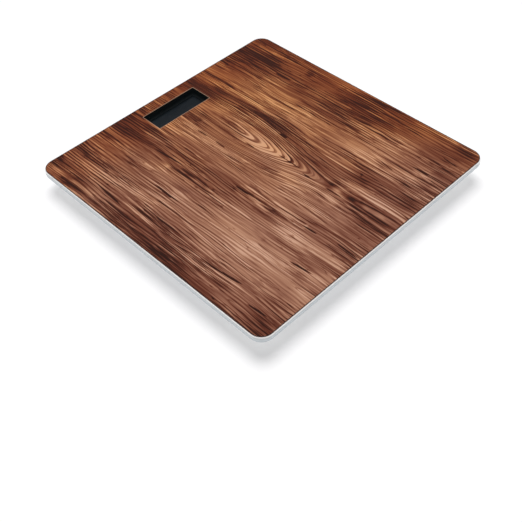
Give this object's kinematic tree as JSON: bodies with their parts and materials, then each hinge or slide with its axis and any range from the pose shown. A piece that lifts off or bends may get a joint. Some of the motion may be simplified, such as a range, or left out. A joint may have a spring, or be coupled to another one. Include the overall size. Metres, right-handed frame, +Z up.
{
  "type": "digital bathroom scale",
  "caption": "Square glass bathroom scale with a wood-print top, a small display window at one edge, a slim electronics box underneath and round load-cell feet.",
  "frame": {"origin": "on the floor under the middle of the platform", "axes": "+Z up; +Y towards the edge with the display, away from the user; +X to the user's right"},
  "size_m": [0.28, 0.28, 0.023],
  "materials": {
    "platform_glass": "clear toughened glass, ground edges",
    "wood_print": "matt printed film with an old-plank wood grain",
    "light_film": "smooth light film",
    "foam_tape": "closed-cell foam",
    "white_plastic": "fine moulded texture",
    "door_plastic": "fine moulded texture",
    "button_plastic": "smooth moulded",
    "grip_rubber": "matt",
    "spring_steel": "stamped and plated",
    "sealant": "cured silicone",
    "black_plastic": "fine moulded texture",
    "display_film": "dark polariser",
    "display_glass": "clear",
    "light_guide": "frosted acrylic",
    "connector_rubber": "matt",
    "board": "solder mask",
    "chip": "moulded",
    "components": "mixed small parts",
    "bead": "dipped resin",
    "screw_steel": "plated",
    "contact_metal": "nickel plated",
    "cell_wrap": "printed plastic wrap over steel, weighed as its real 11 g",
    "lead_insulation": "soft insulation"
  },
  "bodies": {
    "scale": {"glass_platform": "platform_glass", "wood_film": "wood_print", "backing_film": "light_film", "housing_tape": "foam_tape", "electronics_housing": "white_plastic", "display_frame": "black_plastic", "lcd_polariser": "display_film", "lcd_panel": "display_glass", "backlight_panel": "light_guide", "connector_strip": "connector_rubber", "circuit_board": "board", "board_screws": "screw_steel", "controller_chip": "chip", "board_components": "components", "thermistor": "bead", "tact_switch": "black_plastic", "battery_1": "cell_wrap", "battery_2": "cell_wrap", "battery_contact_link": "contact_metal", "battery_contact_plus": "contact_metal", "battery_contact_minus": "contact_metal", "battery_leads": "lead_insulation", "foot_housing_back_right": "white_plastic", "foot_housing_back_left": "white_plastic", "foot_housing_front_right": "white_plastic", "foot_housing_front_left": "white_plastic", "foot_tape_back_right": "foam_tape", "foot_tape_back_left": "foam_tape", "foot_tape_front_right": "foam_tape", "foot_tape_front_left": "foam_tape", "load_cell_back_right": "spring_steel", "load_cell_back_left": "spring_steel", "load_cell_front_right": "spring_steel", "load_cell_front_left": "spring_steel", "strain_gauge_back_right": "sealant", "strain_gauge_back_left": "sealant", "strain_gauge_front_right": "sealant", "strain_gauge_front_left": "sealant", "sensor_leads_back_right": "lead_insulation", "sensor_leads_back_left": "lead_insulation", "sensor_leads_front_right": "lead_insulation", "sensor_leads_front_left": "lead_insulation", "cable_cover_back_right": "white_plastic", "cable_cover_back_left": "white_plastic", "cable_cover_front_right": "white_plastic", "cable_cover_front_left": "white_plastic"},
    "unit_button": {"unit_button": "button_plastic", "switch_plunger": "black_plastic"},
    "battery_door": {"battery_door": "door_plastic"},
    "foot_back_right": {"foot_cap_back_right": "white_plastic", "rubber_pad_back_right": "grip_rubber"},
    "foot_back_left": {"foot_cap_back_left": "white_plastic", "rubber_pad_back_left": "grip_rubber"},
    "foot_front_right": {"foot_cap_front_right": "white_plastic", "rubber_pad_front_right": "grip_rubber"},
    "foot_front_left": {"foot_cap_front_left": "white_plastic", "rubber_pad_front_left": "grip_rubber"}
  },
  "joints": [
    {"name": "foot_drop_back_right", "type": "slide", "parent": "scale", "child": "foot_back_right", "axis": [0, 0, -1], "range_m": [0, 0.0006]},
    {"name": "foot_drop_back_left", "type": "slide", "parent": "scale", "child": "foot_back_left", "axis": [0, 0, -1], "range_m": [0, 0.0006]},
    {"name": "foot_drop_front_right", "type": "slide", "parent": "scale", "child": "foot_front_right", "axis": [0, 0, -1], "range_m": [0, 0.0006]},
    {"name": "foot_drop_front_left", "type": "slide", "parent": "scale", "child": "foot_front_left", "axis": [0, 0, -1], "range_m": [0, 0.0006]},
    {"name": "unit_button_press", "type": "slide", "parent": "scale", "child": "unit_button", "axis": [0, 0, 1], "range_m": [0, 0.0003], "stiffness_N_per_m": 6000},
    {"name": "battery_door_slide", "type": "slide", "parent": "scale", "child": "battery_door", "axis": [0, -1, 0], "range_m": [0, 0.031]}
  ]
}
